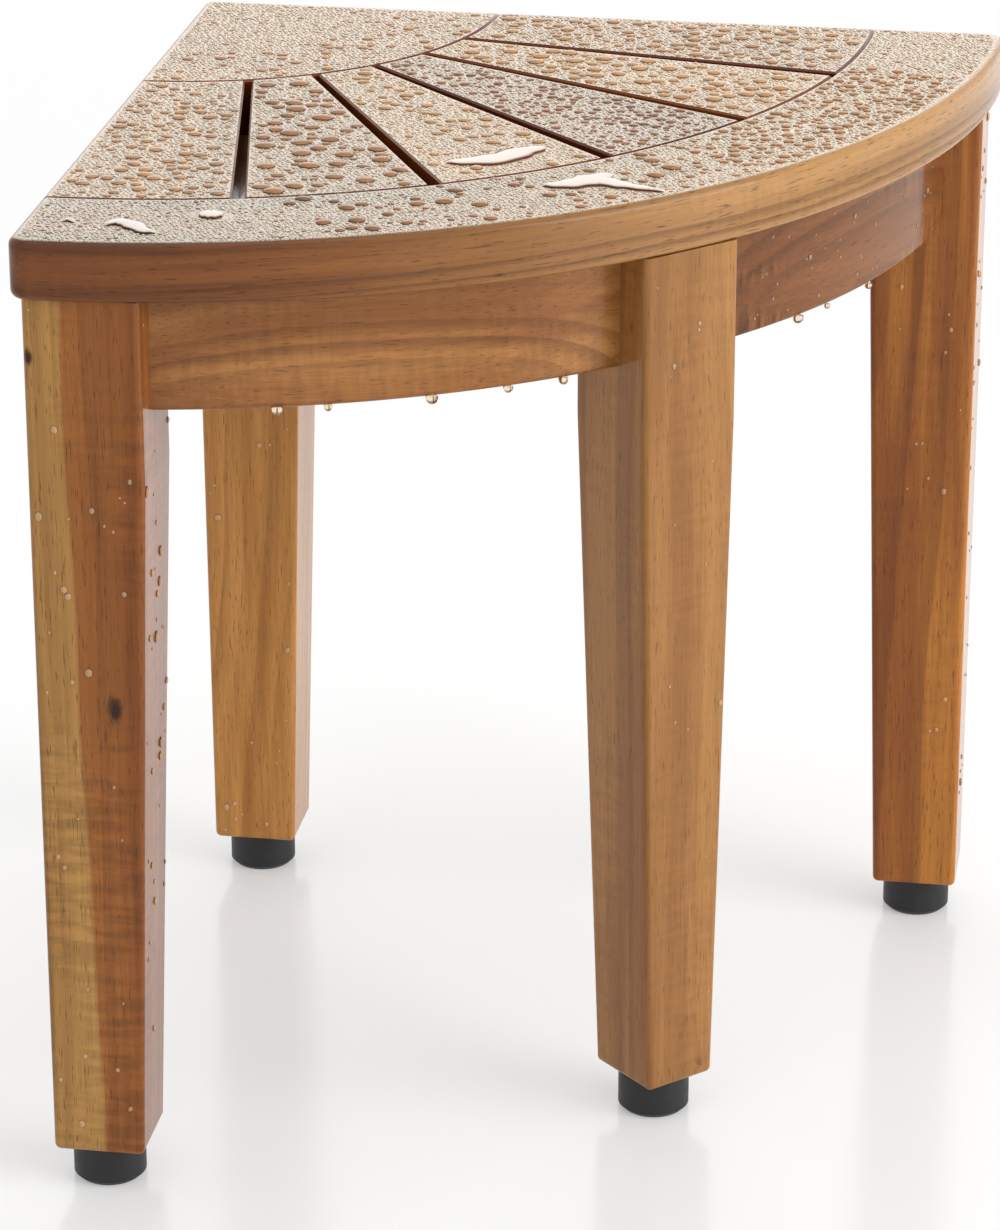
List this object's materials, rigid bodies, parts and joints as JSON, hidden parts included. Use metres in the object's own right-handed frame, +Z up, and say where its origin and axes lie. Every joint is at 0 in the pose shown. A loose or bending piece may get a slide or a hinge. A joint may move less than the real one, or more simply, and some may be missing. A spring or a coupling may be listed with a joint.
{
  "type": "shower foot rest",
  "caption": "Quarter-round wooden foot rest for a shower corner, with a fan-slatted seat, curved rim and aprons, tapered legs and round rubber feet that screw in and out.",
  "frame": {"origin": "on the floor under the middle of the seat's bounding square", "axes": "+Z up; -X out of the straight left side; +Y out of the straight back side; the curved front faces +X and -Y"},
  "size_m": [0.2644, 0.2644, 0.305],
  "materials": {
    "seat_wood": "oiled hardwood, satin, eased edges",
    "apron_wood": "oiled hardwood, darker, satin",
    "leg_wood": "oiled hardwood, satin",
    "cleat_wood": "oiled hardwood, plain",
    "dowel_wood": "plain beech",
    "screw_steel": "stainless, satin",
    "stud_steel": "stainless, satin",
    "insert_brass": "plain turned brass",
    "foot_rubber": "matt black moulded rubber"
  },
  "bodies": {
    "foot_rest": {"seat_corner_block": "seat_wood", "seat_slat_1": "seat_wood", "seat_slat_2": "seat_wood", "seat_slat_3": "seat_wood", "seat_slat_4": "seat_wood", "seat_slat_5": "seat_wood", "seat_slat_6": "seat_wood", "seat_front_rim": "seat_wood", "slat_dowels_inner": "dowel_wood", "slat_dowels_outer": "dowel_wood", "left_apron": "apron_wood", "back_apron": "apron_wood", "front_apron_left": "apron_wood", "front_apron_right": "apron_wood", "left_cleat": "cleat_wood", "back_cleat": "cleat_wood", "seat_screws": "screw_steel", "cleat_screws": "screw_steel", "left_leg": "leg_wood", "back_leg": "leg_wood", "right_leg": "leg_wood", "middle_leg": "leg_wood", "left_leg_insert": "insert_brass", "back_leg_insert": "insert_brass", "right_leg_insert": "insert_brass", "middle_leg_insert": "insert_brass"},
    "left_foot": {"left_foot_stud": "stud_steel", "left_foot_pad": "foot_rubber"},
    "back_foot": {"back_foot_stud": "stud_steel", "back_foot_pad": "foot_rubber"},
    "right_foot": {"right_foot_stud": "stud_steel", "right_foot_pad": "foot_rubber"},
    "middle_foot": {"middle_foot_stud": "stud_steel", "middle_foot_pad": "foot_rubber"}
  },
  "joints": [
    {"name": "left_foot_screw", "type": "slide", "parent": "foot_rest", "child": "left_foot", "axis": [0, 0, -1], "range_m": [0, 0.006]},
    {"name": "back_foot_screw", "type": "slide", "parent": "foot_rest", "child": "back_foot", "axis": [0, 0, -1], "range_m": [0, 0.006]},
    {"name": "right_foot_screw", "type": "slide", "parent": "foot_rest", "child": "right_foot", "axis": [0, 0, -1], "range_m": [0, 0.006]},
    {"name": "middle_foot_screw", "type": "slide", "parent": "foot_rest", "child": "middle_foot", "axis": [0, 0, -1], "range_m": [0, 0.006]}
  ]
}
